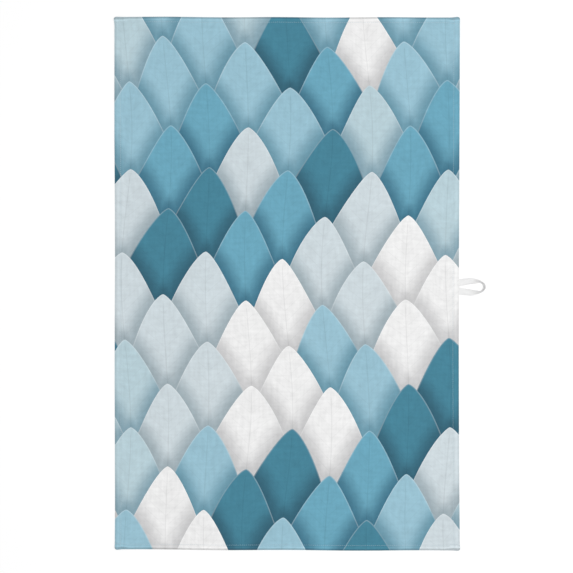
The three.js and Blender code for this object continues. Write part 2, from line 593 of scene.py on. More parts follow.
@dataclass(frozen=True)
class Streak:
    """Noise drawn out along the yarns.

    Attributes:
        stretch: how many times longer than wide it is.
        humps: how many humps fit in a metre of its length.
        depth: how much lighter or darker it makes the cloth.
    """

    stretch: float
    humps: float
    depth: float


@dataclass(frozen=True)
class PlainWeave:
    """A plain weave: each yarn goes over one and under one, and some yarns are thicker.

    Attributes:
        yarn: the spacing of the yarns.
        crown: how much of a yarn's height changes as it goes over the next.
        cloud: how much lighter or darker broad patches are.
        weft_shift: where the weft's noise is read, away from the warp's.
    """

    yarn: float = 0.55 * MM
    crown: float = 0.4
    cloud: float = 0.1
    cloud_humps: float = 14.0
    cloud_detail: float = 3.0
    streaks: tuple[Streak, ...] = (
        Streak(stretch=9.0, humps=95.0, depth=0.03),
        Streak(stretch=4.0, humps=50.0, depth=0.16),
    )
    weft_shift: float = 3.0

    def relief(self, across: Signal, along: Signal) -> Signal:
        """Works out the height of the yarns.

        Args:
            across: place across the cut cloth.
            along: place along the cut cloth.

        Returns:
            The height, from 0 to 1.
        """
        u = across / self.yarn
        v = along / self.yarn
        over = (u.floor() + v.floor()) % 2.0
        warp = ((u % 1.0) * math.pi).sine()
        weft = ((v % 1.0) * math.pi).sine()
        up = warp * (weft * self.crown + (1.0 - self.crown))
        down = weft * (warp * self.crown + (1.0 - self.crown))
        return up * over + down * (1.0 - over)

    def evenness(self, bench: Bench, across: Signal, along: Signal) -> Signal:
        """Works out how much lighter or darker each stretch of yarn is.

        Args:
            bench: the material being made.
            across: place across the cut cloth.
            along: place along the cut cloth.

        Returns:
            The tone, around 1.
        """
        cloud = bench.noise(bench.vector(across, along), self.cloud_humps, self.cloud_detail)
        tone = (cloud - 0.5) * self.cloud + 1.0
        for streak in self.streaks:
            warp = bench.noise(bench.vector(across * streak.stretch, along), streak.humps)
            shifted = along * streak.stretch + self.weft_shift
            weft = bench.noise(bench.vector(across, shifted), streak.humps)
            tone = tone + (warp + weft - 1.0) * streak.depth
        return tone


@dataclass(frozen=True)
class HemTone:
    """What one pair of hems adds to the print's tone: painted shade on the outer roll, a painted highlight
    on the crest.

    Attributes:
        fold_at: how far from the cloth's middle the outer folds are.
        crest: how far in from the fold the crest is.
        spread: how far the painted highlight reaches to each side of the crest.
        fade: how much paler the crest is made, as a painted highlight.
        roll: how far in from the fold the painted shade on the rolled edge reaches.
        rim_shade: how much darker the painted shade makes it.
        roll_start: the share of roll at which it starts to fade.
    """

    fold_at: float
    crest: float
    spread: float
    fade: float
    roll: float
    rim_shade: float
    roll_start: float = 0.4

    def change(self, bench: Bench, place: Signal, patch: Signal) -> Signal:
        """Works out what a hem adds to the print's tone.

        Args:
            bench: the material being made.
            place: place across this pair of hems on the cut cloth.
            patch: how unevenly the painted highlight lies.

        Returns:
            The change, 0 off the hems.
        """
        inset = self.fold_at - place.size()
        # The crest gets a painted highlight and the outer roll gets painted shade.
        crest = 1.0 - bench.mapped((inset - self.crest).size(), 0.0, self.spread)
        roll = 1.0 - bench.mapped(inset, self.roll * self.roll_start, self.roll)
        return crest * patch * self.fade - roll * self.rim_shade


@dataclass(frozen=True)
class PrintedCotton:
    """The upper face: plain-weave cotton with the leaf print."""

    sides: HemTone
    ends: HemTone
    leaves: LeafPrint = LeafPrint()
    weave: PlainWeave = PlainWeave()
    # How patchy the painted highlight on the hems' crests is.
    highlight_humps: float = 60.0
    highlight_contrast: float = 1.6
    highlight_least: float = 0.2
    feel: Feel = Feel(rough=0.9, polish=0.08, deep=0.12 * MM, sheen=0.08)

    def make(self) -> bpy.types.Material:
        """Makes the material.

        Returns:
            The finished material.
        """
        bench = Bench("printed_cotton")
        across, along = bench.map_places("cut")
        colour = self.leaves.colour(bench, across, along)
        # The hems add painted shade at the outer roll and a patchy painted highlight on the crest.
        patch = bench.noise(bench.vector(across, along), self.highlight_humps)
        patch = patch * self.highlight_contrast + self.highlight_least
        hems = self.sides.change(bench, across, patch) + self.ends.change(bench, along, patch)
        tone = self.weave.evenness(bench, across, along) * (hems + 1.0)
        return bench.cloth(bench.shaded(colour, tone), self.weave.relief(across, along), self.feel)


@dataclass(frozen=True)
class CottonReverse:
    """The unprinted face: white cotton through which the print shows faintly.

    Attributes:
        show_through: how much of the print shows.
        patch_contrast: how unevenly it shows.
        patch_least: how much shows, as a share, where the noise is 0.
    """

    leaves: LeafPrint = LeafPrint()
    weave: PlainWeave = PlainWeave()
    ground: Colour = (238, 238, 237)
    show_through: float = 0.14
    patch_humps: float = 160.0
    patch_detail: float = 3.0
    patch_contrast: float = 0.5
    patch_least: float = 0.75
    feel: Feel = Feel(rough=0.92, polish=0.08, deep=0.14 * MM, sheen=0.08)

    def make(self) -> bpy.types.Material:
        """Makes the material.

        Returns:
            The finished material.
        """
        bench = Bench("cotton_reverse")
        across, along = bench.map_places("cut")
        seen = self.leaves.colour(bench, across, along)
        patch = bench.noise(bench.vector(across, along), self.patch_humps, self.patch_detail)
        patch = patch * self.patch_contrast + self.patch_least
        colour = bench.mix(patch * self.show_through, linear(self.ground), seen)
        colour = bench.shaded(colour, self.weave.evenness(bench, across, along))
        return bench.cloth(colour, self.weave.relief(across, along), self.feel)


@dataclass(frozen=True)
class HerringboneTape:
    """White cotton tape whose twill lines change direction in narrow bands.

    Attributes:
        band: the width of a band.
        line: the spacing of the twill lines.
        ridge_share: the twill's share of the relief; the yarns have the rest.
        mottle: how much lighter the yarn is in patches.
        crown_highlight: how much lighter it is painted on the crowns, as a highlight.
        tone: its tone in the grooves, darker than on the crowns as painted shade.
    """

    band: float = 2.5 * MM
    line: float = 0.9 * MM
    yarn: float = 0.45 * MM
    ridge_share: float = 0.7
    ground: Colour = (238, 238, 238)
    mottle: float = 0.05
    mottle_humps: float = 500.0
    crown_highlight: float = 0.05
    tone: float = 0.925
    feel: Feel = Feel(rough=0.92, polish=0.1, deep=0.12 * MM, sheen=0.05)

    def make(self) -> bpy.types.Material:
        """Makes the material.

        Returns:
            The finished material.
        """
        bench = Bench("cotton_tape")
        across, along = bench.map_places("tape")
        zigzag = ((across / (2.0 * self.band)) % 1.0 - 0.5).size() * (2.0 * self.band)
        ridge = (((along + zigzag) / self.line) * math.pi).sine().size()
        yarns = ((across / self.yarn) * math.pi).sine().size()
        relief = ridge * self.ridge_share + yarns * (1.0 - self.ridge_share)
        mottle = bench.noise(bench.vector(across, along), self.mottle_humps) * self.mottle
        # Lighter on the crowns and darker in the grooves: painted highlight and shade that follow the
        # relief.
        tone = mottle + relief * self.crown_highlight + self.tone
        return bench.cloth(bench.shaded(linear(self.ground)[:3], tone), relief, self.feel)


@dataclass(frozen=True)
class SewingThread:
    """Two-ply thread with a fine twist, painted darker in the twist's grooves as shade."""

    ground: Colour = (188, 206, 214)
    twist_length: float = 0.5 * MM
    # How much darker the twist's grooves are painted, as shade.
    groove_shade: float = 0.14
    feel: Feel = Feel(rough=0.7, polish=0.1, deep=0.06 * MM, sheen=0.15)

    def make(self) -> bpy.types.Material:
        """Makes the material.

        Returns:
            The finished material.
        """
        bench = Bench("sewing_thread")
        around, along = bench.map_places("thread")
        twist = ((along / self.twist_length + around) * math.tau).sine() * 0.5 + 0.5
        # Painted shade in the twist's grooves, following the relief.
        tone = twist * self.groove_shade + (1.0 - self.groove_shade)
        return bench.cloth(bench.shaded(linear(self.ground)[:3], tone), twist, self.feel)


@dataclass(frozen=True)
class PaleSurface:
    """The plain pale surface that the towel lies on.

    Only the camera sees its glow, which makes it show white.

    Attributes:
        lift: its glow near the towel.
        near: how far from the towel's middle the glow starts to grow.
        far: where the glow is full.
    """

    ground: Colour = (234, 234, 234)
    lift: float = 0.16
    near: float = 0.55
    far: float = 1.6

    def make(self) -> bpy.types.Material:
        """Makes the material.

        Returns:
            The finished material.
        """
        bench = Bench("pale_surface")
        shader = bench.node("ShaderNodeBsdfDiffuse")
        shader.inputs["Color"].default_value = linear(self.ground)
        glow = bench.node("ShaderNodeEmission")
        glow.inputs["Color"].default_value = (1.0, 1.0, 1.0, 1.0)
        path = bench.node("ShaderNodeLightPath")
        seen = Signal(bench, path.outputs["Is Camera Ray"])
        place = bench.node("ShaderNodeNewGeometry")
        away = bench.node("ShaderNodeVectorMath", operation="LENGTH")
        bench.tree.links.new(place.outputs["Position"], away.inputs[0])
        fade = bench.mapped(Signal(bench, away.outputs["Value"]), self.near, self.far)
        bench.feed(glow.inputs["Strength"], seen * (fade + self.lift))
        both = bench.node("ShaderNodeAddShader")
        bench.tree.links.new(shader.outputs[0], both.inputs[0])
        bench.tree.links.new(glow.outputs[0], both.inputs[1])
        out = bench.node("ShaderNodeOutputMaterial")
        bench.tree.links.new(both.outputs[0], out.inputs[0])
        return bench.material


# ------------------------------------------------------------------------------- meshes


def mesh_object(name: str, points: Numbers, faces: Numbers,
                maps: dict[str, Numbers], materials: Sequence[bpy.types.Material],
                slots: Numbers | None = None) -> bpy.types.Object:
    """Makes a smooth mesh and puts it in the scene.

    Args:
        name: the piece's name.
        points: the places of its points, one row each.
        faces: the four points of each face, one row each.
        maps: for each map, the two coordinates of every face corner in turn.
        materials: the materials it wears.
        slots: which of them each face wears; all the first if left out.

    Returns:
        The new piece.
    """
    mesh = bpy.data.meshes.new(name)
    mesh.from_pydata(points.tolist(), [], [tuple(face) for face in faces.tolist()])
    for layer, places in maps.items():
        made = mesh.uv_layers.new(name=layer)
        made.uv.foreach_set("vector", np.ascontiguousarray(places, dtype=np.float32).ravel())
    for material in materials:
        mesh.materials.append(material)
    if slots is not None:
        mesh.polygons.foreach_set("material_index", slots.astype(np.int32))
    mesh.shade_smooth()
    mesh.validate()
    piece = bpy.data.objects.new(name, mesh)
    bpy.context.scene.collection.objects.link(piece)
    return piece


def grid_faces(down: int, wide: int, first: int = 0) -> Numbers:
    """Lists the faces of a grid of points.

    Args:
        down: how many rows of points it has.
        wide: how many points each row has.
        first: the number of its first point.

    Returns:
        The four points of each face, turned the same way.
    """
    j, i = np.mgrid[0:down - 1, 0:wide - 1]
    a = first + j * wide + i
    return np.stack([a, a + 1, a + wide + 1, a + wide], axis=-1).reshape(-1, 4)


# ------------------------------------------------------------------------------- the cloth


@dataclass(frozen=True)
class TurnedEdge:
    """Two opposite hems, each turned under twice, seen from their ends.

    The cloth runs flat to the outer fold, goes down round it, back under for the hem's width, up round
    the inner fold and out again between the two, where its raw edge ends.

    Attributes:
        half_size: how far from the towel's middle the outer folds are.
        hem: the hem's width.
        tuck: how far the raw edge reaches in between the two layers.
        stitch_inset: how far in from the outer fold the stitches are.
        fold: half the height of the outer fold.
        inner_fold: half the height of the inner fold.
        flatness: how far out the outer fold bulges, for its half height.
        approach: how far in from the hem the grid's lines start to be close together.
        line_counts: how many lines the grid has in the approach, the hem's top, its outer fold, its
            underside, its inner fold and the tuck.
    """

    half_size: float
    hem: float
    tuck: float
    stitch_inset: float
    fold: float = 0.5 * MM
    inner_fold: float = 0.25 * MM
    flatness: float = 2.0
    approach: float = 14 * MM
    line_counts: tuple[int, ...] = (5, 11, 7, 8, 6, 2)

    def turns(self) -> tuple[float, float, float, float, float]:
        """Works out the lengths of cloth, from the middle, at which its path changes.

        Returns:
            Where the outer fold starts and ends, where the inner fold starts and ends, and the end.
        """
        flat = self.half_size - self.fold * self.flatness
        under = flat + math.pi * self.fold * math.sqrt((1.0 + self.flatness**2) / 2.0)
        turn = under + self.hem - self.fold * self.flatness - self.inner_fold
        inside = turn + math.pi * self.inner_fold
        return flat, under, turn, inside, inside + self.tuck

    def under_at(self, inset: float) -> float:
        """Gives the length of cloth at which the hem's underside is this far from the outer fold."""
        return self.turns()[1] + inset - self.fold * self.flatness

    def place(self, length: Numbers, fold: Numbers, inner_fold: Numbers,
              height: Numbers) -> tuple[Numbers, Numbers]:
        """Follows the cloth's path.

        Args:
            length: length of cloth from the middle, negative to the other side.
            fold: radius of the outer fold there.
            inner_fold: radius of the inner fold there.
            height: distance above the path, on the printed side.

        Returns:
            How far out and how far up that place of the cloth lies.
        """
        flat, under, turn, inside, _ = self.turns()
        far = np.abs(length)
        edge = self.half_size - fold * self.flatness
        inner = self.half_size - self.hem + inner_fold
        first = np.clip((far - flat) / (under - flat), 0.0, 1.0) * math.pi
        back = np.clip((far - under) / (turn - under), 0.0, 1.0)
        second = np.clip((far - turn) / (inside - turn), 0.0, 1.0) * math.pi
        stretches = [far <= flat, far <= under, far <= turn, far <= inside]
        out = np.select(stretches, [
            far * edge / flat,
            edge + self.flatness * (fold + height) * np.sin(first),
            edge + (inner - edge) * back,
            inner - (inner_fold + height) * np.sin(second),
        ], inner + far - inside)
        up = np.select(stretches, [
            height,
            -fold + (fold + height) * np.cos(first),
            -2.0 * fold - height,
            -2.0 * fold + inner_fold - (inner_fold + height) * np.cos(second),
        ], -2.0 * fold + 2.0 * inner_fold + height)
        return np.sign(length) * out, up

    def lines(self, body_step: float) -> Numbers:
        """Lists the lengths at which the cloth's grid has a line, close together in the hems.

        Args:
            body_step: the spacing in the body of the cloth.

        Returns:
            The lengths, from one raw edge to the other.
        """
        flat, *rest = self.turns()
        reach = flat - self.hem - self.approach
        marks = [reach, flat - self.hem, flat, *rest]
        body = np.linspace(0.0, reach, round(reach / body_step) + 1)
        spans = zip(marks, marks[1:], self.line_counts)
        parts = [body] + [np.linspace(a, b, count + 1)[1:] for a, b, count in spans]
        half = np.concatenate(parts)
        return np.concatenate([-half[:0:-1], half])


@dataclass(frozen=True)
class Wander:
    """How one edge of the laid towel strays outwards.

    The bow is in its middle, the tilt is at its upper or right-hand end and as far inwards at the
    other, and the ripple runs all along it.
    """

    bow: float
    tilt: float
    ripple: float
    wave_length: float
    shift: float

    def out(self, along: Numbers, size: float) -> Numbers:
        """Gives how far out the edge strays.

        Args:
            along: places along the edge, from its middle.
            size: the edge's length.

        Returns:
            How far out it is at each place.
        """
        reach = 2.0 * along / size
        wave = np.sin(math.tau * (along / self.wave_length + self.shift))
        return self.bow * (1.0 - reach**2) + self.tilt * reach + self.ripple * wave


@dataclass(frozen=True)
class Swell:
    """A shallow place where the cloth doesn't quite lie down."""

    x: float
    y: float
    reach_x: float
    reach_y: float
    turn: float
    rise: float

    def lift(self, x: Numbers, y: Numbers) -> Numbers:
        """Works out the swell's height.

        Args:
            x: places across the towel.
            y: places along it.

        Returns:
            The height at each place.
        """
        angle = math.radians(self.turn)
        along = (x - self.x) * math.cos(angle) + (y - self.y) * math.sin(angle)
        across = (y - self.y) * math.cos(angle) - (x - self.x) * math.sin(angle)
        return self.rise * soft_bump(np.hypot(along / self.reach_x, across / self.reach_y))


@dataclass(frozen=True)
class CornerFlare:
    """How far one corner of the laid towel leans out."""

    across: int
    along: int
    out_x: float
    out_y: float


@dataclass
class TowelCloth:
    """The printed cloth, cut once, turned under twice at each edge and laid face up.

    Attributes:
        pressed: how much of its height a side hem keeps where an end hem is folded over it.
        corner_fold: half the height of an end hem's outer fold where it holds a side hem.
        corner_inner_fold: half the height of its inner fold there.
        hem_ease: over what length the cloth takes on its shape in a corner.
        body_step: the grid's spacing in the body of the cloth.
        pinch: how much flatter a hem is at its outer fold.
        pinch_reach: how far in from the fold that reaches.
        groove_reach: how far to each side of the stitches their groove reaches.
        groove_depth: how much flatter the hem is there.
        drop: where, from the hem's inner edge, the cloth's steep way down starts and ends.
        slope_reach: how far its gentle slope reaches.
        flare_reach: how far from a corner its lean reaches.
        corner_overrun: how strongly at most a place past an edge is rounded; one on the edge has 1.
        tape_lift: how far the ends of the tape lift the side hem.
        tape_legs: where along the towel the middles of the tape's two ends are.
        tape_inward: how far in from the outer fold the lift starts to fall and where it ends.
        tape_beside: how far beside the tape it ends.
        ripple_steepness: a ripple's rise for its length.
        ripple_ease: how gently the ripples go over to where they touch the surface.
    """

    thickness: float = 0.45 * MM
    pressed: float = 0.66
    corner_fold: float = 1.33 * MM
    corner_inner_fold: float = 0.83 * MM
    hem_ease: float = 12 * MM
    body_step: float = 5 * MM
    sides: TurnedEdge = TurnedEdge(half_size=240 * MM, hem=9.2 * MM, tuck=4.8 * MM, stitch_inset=7.9 * MM)
    ends: TurnedEdge = TurnedEdge(half_size=370.8 * MM, hem=8.0 * MM, tuck=4.0 * MM, stitch_inset=6.7 * MM)
    pinch: float = 0.42
    pinch_reach: float = 3.8 * MM
    groove_reach: float = 1.6 * MM
    groove_depth: float = 0.3
    drop: tuple[float, float] = (-0.4 * MM, 2.6 * MM)
    slope_reach: float = 30 * MM
    wander: dict[str, Wander] = field(default_factory=lambda: {
        "left": Wander(-0.4 * MM, 0.3 * MM, 0.3 * MM, 350 * MM, 0.6),
        "right": Wander(-1.0 * MM, 0.1 * MM, 0.35 * MM, 700 * MM, 0.92),
        "top": Wander(-0.5 * MM, -0.4 * MM, 0.3 * MM, 150 * MM, 0.35),
        "bottom": Wander(0.4 * MM, 0.9 * MM, 0.35 * MM, 185 * MM, 0.75),
    })
    flares: tuple[CornerFlare, ...] = (
        CornerFlare(-1, 1, 1.1 * MM, 0.3 * MM),
        CornerFlare(1, 1, 0.2 * MM, 0.9 * MM),
        CornerFlare(-1, -1, 0.3 * MM, 0.8 * MM),
        CornerFlare(1, -1, 0.6 * MM, 0.5 * MM),
    )
    flare_reach: float = 12 * MM
    corner_radius: float = 2.5 * MM
    corner_overrun: float = 1.2
    swells: tuple[Swell, ...] = (
        Swell(-120 * MM, 236 * MM, 96 * MM, 40 * MM, 24, 0.8 * MM),
        Swell(138 * MM, 142 * MM, 84 * MM, 46 * MM, -32, 0.7 * MM),
        Swell(-148 * MM, -60 * MM, 60 * MM, 118 * MM, 12, 0.6 * MM),
        Swell(96 * MM, -168 * MM, 110 * MM, 44 * MM, 18, 0.8 * MM),
        Swell(-66 * MM, -288 * MM, 92 * MM, 38 * MM, -14, 0.6 * MM),
    )
    tape_lift: float = 0.72 * MM
    tape_legs: tuple[float, float] = (1.2 * MM, -10.8 * MM)
    tape_width: float = 10 * MM
    tape_inward: tuple[float, float] = (8 * MM, 26 * MM)
    tape_beside: float = 8 * MM
    ripple_waves: int = 18
    ripple_lengths: tuple[float, float] = (14 * MM, 110 * MM)
    ripple_steepness: float = 0.0007
    ripple_ease: float = 0.1 * MM

    def __post_init__(self) -> None:
        """Draws the fine ripples once, each as its two rates, its shift and its rise."""
        dice = np.random.default_rng(SEED)
        turn = dice.uniform(0.0, math.pi, self.ripple_waves)
        length = dice.uniform(*self.ripple_lengths, self.ripple_waves)
        rate = math.tau / length
        shift = dice.uniform(0.0, math.tau, self.ripple_waves)
        rise = length * self.ripple_steepness
        self.waves = np.stack([np.cos(turn) * rate, np.sin(turn) * rate, shift, rise], axis=-1)

    @property
    def flat_size(self) -> tuple[float, float]:
        """The size that the cloth is cut to."""
        return 2.0 * self.sides.turns()[-1], 2.0 * self.ends.turns()[-1]

    def ripples(self, x: Numbers, y: Numbers) -> Numbers:
        """Gives the height of the fine unevenness that all laid cloth has.

        Args:
            x: places across the towel.
            y: places along it.

        Returns:
            The height at each place, which may be below 0.
        """
        total = np.zeros_like(x)
        for rate_x, rate_y, shift, rise in self.waves:
            total += rise * np.sin(rate_x * x + rate_y * y + shift)
        return total

    def corner(self, across: Numbers) -> Numbers:
        """Gives 1 where an end hem is folded over a side hem, and 0 in between."""
        start = self.sides.half_size - self.sides.hem
        return soft_step(start - self.hem_ease, start, np.abs(across))

    def fold_cloth(self, across: Numbers, along: Numbers, side: Numbers) -> tuple[Numbers, ...]:
        """Folds the cut cloth's four hems, side hems first.

        Args:
            across: places across the cut cloth, from its middle.
            along: places along it.
            side: how far above the cloth's own middle layer, on the printed side.

        Returns:
            The folded places, with the height measured from the body's middle layer.
        """
        start = self.ends.half_size - self.ends.hem
        near_end = soft_step(start - self.hem_ease, start, np.abs(along))
        corner = self.corner(across)
        press = 1.0 - (1.0 - self.pressed) * near_end
        thin = 1.0 - (1.0 - self.pressed) * near_end * corner
        x, up = self.sides.place(
            across, self.sides.fold * press, self.sides.inner_fold * press, side * thin)
        fold = self.ends.fold + (self.corner_fold - self.ends.fold) * corner
        inner = self.ends.inner_fold + (self.corner_inner_fold - self.ends.inner_fold) * corner
        y, z = self.ends.place(along, fold, inner, up)
        return x, y, z

    def lay(self, x: Numbers, y: Numbers, z: Numbers) -> Numbers:
        """Lays folded cloth on the surface, with its hems' stitching, its wander and its swells.

        Args:
            x: folded places across the towel.
            y: folded places along it.
            z: heights from the body's middle layer.

        Returns:
            The laid places, one row each.
        """
        inset_x = self.sides.half_size - np.abs(x)
        inset_y = self.ends.half_size - np.abs(y)
        corner = self.corner(x)
        fold_y = self.ends.fold + (self.corner_fold - self.ends.fold) * corner
        rest_x = self.settle(inset_x, self.sides.hem)
        rest_y = self.settle(inset_y, self.ends.hem)
        raised = self.sides.fold * rest_x * (1.0 - rest_y) + fold_y * rest_y
        middle = -raised
        groove = np.maximum(
            soft_bump((inset_x - self.sides.stitch_inset) / self.groove_reach),
            soft_bump((inset_y - self.ends.stitch_inset) / self.groove_reach),
        )
        z = middle + (z - middle) * (1.0 - self.groove_depth * groove)
        near_fold = np.clip(np.minimum(inset_x, inset_y), 0.0, None)
        full = 1.0 - self.pinch * (1.0 - soft_step(0.0, self.pinch_reach, near_fold))
        lift = self.thickness / 2.0 + 2.0 * raised
        z, lift = z * full, lift * full + self.over_tape(x, y)
        lift = lift + sum(swell.lift(x, y) for swell in self.swells)
        ripple = self.ripples(x, y)
        lift = lift + (ripple + np.hypot(ripple, self.ripple_ease)) / 2.0
        laid_x, laid_y = self.stray(x, y)
        return np.stack([laid_x, laid_y, z + lift], axis=-1)

    def stray(self, x: Numbers, y: Numbers) -> tuple[Numbers, Numbers]:
        """Moves places of the straight towel to where its straying edges and corners carry them.

        Args:
            x: folded places across the towel.
            y: folded places along it.

        Returns:
            The moved places.
        """
        wide, long = 2.0 * self.sides.half_size, 2.0 * self.ends.half_size
        u, v = x / wide + 0.5, y / long + 0.5
        edges = self.wander
        laid_x = x + u**2 * edges["right"].out(y, long) - (1.0 - u) ** 2 * edges["left"].out(y, long)
        laid_y = y + v**2 * edges["top"].out(x, wide) - (1.0 - v) ** 2 * edges["bottom"].out(x, wide)
        for flare in self.flares:
            from_x = self.sides.half_size - flare.across * x
            from_y = self.ends.half_size - flare.along * y
            near = soft_bump(np.minimum(1.0, np.hypot(from_x, from_y) / self.flare_reach))
            round_x = np.clip(1.0 - from_x / self.corner_radius, 0.0, self.corner_overrun)
            round_y = np.clip(1.0 - from_y / self.corner_radius, 0.0, self.corner_overrun)
            pull = self.corner_radius * (1.0 - math.sqrt(0.5)) * round_x * round_y
            laid_x = laid_x + flare.across * (flare.out_x * near - pull)
            laid_y = laid_y + flare.along * (flare.out_y * near - pull)
        return laid_x, laid_y

    def settle(self, inset: Numbers, hem: float) -> Numbers:
        """Works out how far the cloth beside a hem is still held up by it.

        Args:
            inset: distances from the outer fold.
            hem: the hem's width.

        Returns:
            1 on the hem, falling to 0 where the cloth has come down to the surface.
        """
        start, stop = self.drop
        steep = 1.0 - soft_step(hem + start, hem + stop, inset)
        long = 1.0 - soft_step(hem, hem + self.slope_reach, inset)
        return 0.5 * steep + 0.5 * long

    def over_tape(self, x: Numbers, y: Numbers) -> Numbers:
        """Works out how far the ends of the tape lift the hem above them.

        Args:
            x: places across the towel.
            y: places along it.

        Returns:
            The lift at each place.
        """
        inward = 1.0 - soft_step(*self.tape_inward, self.sides.half_size - x)
        half = self.tape_width / 2.0
        beside = 1.0 - soft_step(half, half + self.tape_beside, self.from_tape(y))
        return self.tape_lift * inward * beside

    def from_tape(self, y: Numbers) -> Numbers:
        """Gives the distance from the middle of the nearer leg of the tape."""
        return np.minimum(*(np.abs(y - leg) for leg in self.tape_legs))

    def on_tape(self, x: Numbers, y: Numbers) -> Numbers:
        """Tells which places on the hem's underside have the tape beneath them."""
        within = x > self.sides.half_size - self.sides.hem
        return within & (self.from_tape(y) < self.tape_width / 2.0)

    def spot(self, across: Numbers, along: Numbers, above: Numbers) -> Numbers:
        """Finds where a place on the printed side of the cut cloth lies.

        Args:
            across: places across the cut cloth.
            along: places along it.
            above: height above the printed face.

        Returns:
            The laid places, one row each.
        """
        return self.lay(*self.fold_cloth(across, along, self.thickness / 2.0 + above))

    def build(self) -> bpy.types.Object:
        """Builds the cloth as one closed sheet with a printed and an unprinted face.

        Returns:
            The cloth.
        """
        columns = self.sides.lines(self.body_step)
        rows = self.ends.lines(self.body_step)
        across, along = np.meshgrid(columns, rows)
        half = self.thickness / 2.0
        upper = self.spot(across, along, np.zeros_like(across))
        lower = self.lay(*self.fold_cloth(across, along, np.full_like(across, -half)))
        down, wide = across.shape
        count = down * wide
        points = np.concatenate([upper.reshape(-1, 3), lower.reshape(-1, 3)])
        face = grid_faces(down, wide)
        back = grid_faces(down, wide, count)[:, ::-1]
        ring = np.concatenate([
            np.arange(wide), np.arange(2, down + 1) * wide - 1,
            np.arange(count - 2, count - wide - 1, -1), np.arange(down - 2, -1, -1) * wide,
        ])
        rim = np.stack([ring[1:], ring[:-1], ring[:-1] + count, ring[1:] + count], axis=-1)
        faces = np.concatenate([face, back, rim])
        slots = np.concatenate([np.zeros(len(face)), np.ones(len(back) + len(rim))])
        cut = np.stack([across, along], axis=-1).reshape(-1, 2)
        cut = np.concatenate([cut, cut])[faces.ravel()]
        bake = self.bake_places(cut.reshape(-1, 4, 2), len(face), len(back))
        return mesh_object(
            "printed_cloth", points, faces, {"OFBake": bake, "cut": cut},
            [self.finish().make(), CottonReverse().make()], slots)

    def finish(self) -> PrintedCotton:
        """Chooses the printed face's finish, with each pair of hems in its own tone.

        Returns:
            The finish.
        """
        # Each pair of hems gets a painted highlight on its crest and painted shade at its outer roll.
        return PrintedCotton(
            sides=HemTone(fold_at=self.sides.half_size, crest=4.1 * MM, spread=1.7 * MM,
                          fade=0.05, roll=2.3 * MM, rim_shade=0.07),
            ends=HemTone(fold_at=self.ends.half_size, crest=3.3 * MM, spread=1.4 * MM,
                         fade=0.12, roll=2.3 * MM, rim_shade=0.25))

    def bake_places(self, cut: Numbers, printed: int, plain: int) -> Numbers:
        """Lays the cloth's faces out on a square: printed side large, reverse smaller, rim beside it.

        Args:
            cut: the cut-cloth places of each face's corners.
            printed: how many faces are on the printed side.
            plain: how many are on the reverse.

        Returns:
            The two coordinates of every face corner in turn.
        """
        margin = 0.005
        between = 0.02
        strip_size = (0.4, 0.02)
        strip_start = 0.55
        wide, long = self.flat_size
        share = cut[..., ::-1] / (long, wide) + 0.5
        big = wide / long
        small = 1.0 - big - between - 2.0 * margin
        spread = np.empty_like(share)
        spread[:printed] = share[:printed] * (1.0 - 2.0 * margin, big) + margin
        middle = slice(printed, printed + plain)
        spread[middle] = share[middle] * (small / big, small) + (margin, big + between)
        rim = len(share) - printed - plain
        step = np.arange(rim)[:, None] / rim
        corners = np.array([[1, 0], [0, 0], [0, 1], [1, 1]], dtype=float)
        strip = corners * (1.0 / rim, 1.0) + np.concatenate([step, step * 0.0], axis=1)[:, None]
        spread[printed + plain:] = strip * strip_size + (strip_start, big + 5.0 * between)
        return spread.reshape(-1, 2)


# ------------------------------------------------------------------------------- the sewing


@dataclass
class Thread:
    """Builds short runs of thread as closed tubes that taper at both ends.

    Attributes:
        tip: how much of its radius a run keeps at its ends.
        around: how many sides a tube has.
    """

    radius: float = 0.15 * MM
    tip: float = 0.35
    around: int = 6

    def tubes(self, paths: Numbers, ups: Numbers) -> tuple[Numbers, Numbers, Numbers]:
        """Builds a tube along each path.

        Args:
            paths: places along each thread, as threads by places by three.
            ups: the direction away from the cloth at those places.

        Returns:
            The tubes' points, faces and the map of their twist.
        """
        ahead = np.gradient(paths, axis=1)
        ahead /= np.linalg.norm(ahead, axis=-1, keepdims=True)
        side = np.cross(ahead, ups)
        side /= np.linalg.norm(side, axis=-1, keepdims=True)
        up = np.cross(side, ahead)
        angle = np.arange(self.around) * math.tau / self.around
        count, steps = paths.shape[:2]
        taper = np.ones(steps)
        taper[[0, -1]] = self.tip
        ring = np.cos(angle)[:, None] * side[:, :, None] + np.sin(angle)[:, None] * up[:, :, None]
        points = paths[:, :, None] + ring * (self.radius * taper)[:, None, None]
        start = np.arange(count)[:, None, None] * steps * self.around
        j = np.arange(steps - 1)[:, None] * self.around
        i = np.arange(self.around)
        after = (i + 1) % self.around
        here, there = start + j, start + j + self.around
        sides = np.stack([here + i, here + after, there + after, there + i], axis=-1).reshape(-1, 4)
        half = self.around // 2
        caps = []
        for offset, turned in ((0, True), ((steps - 1) * self.around, False)):
            for k in range(half - 1):
                quad = [k, k + 1, self.around - 2 - k, self.around - 1 - k]
                caps.append(start[:, 0, 0][:, None] + offset + np.array(quad[::-1] if turned else quad))
        faces = np.concatenate([sides, *caps])
        run = distance_along(paths[0])
        spin = np.broadcast_to(i / self.around, (count, steps, self.around))
        length = np.broadcast_to(run[:, None], (count, steps, self.around))
        twist = np.stack([spin, length], axis=-1).reshape(-1, 2)[faces.ravel()]
        return points.reshape(-1, 3), faces, twist


class HemSide(Enum):
    """Which side of a hem a line of stitches is seen from."""

    TOP = "top"
    UNDER = "under"


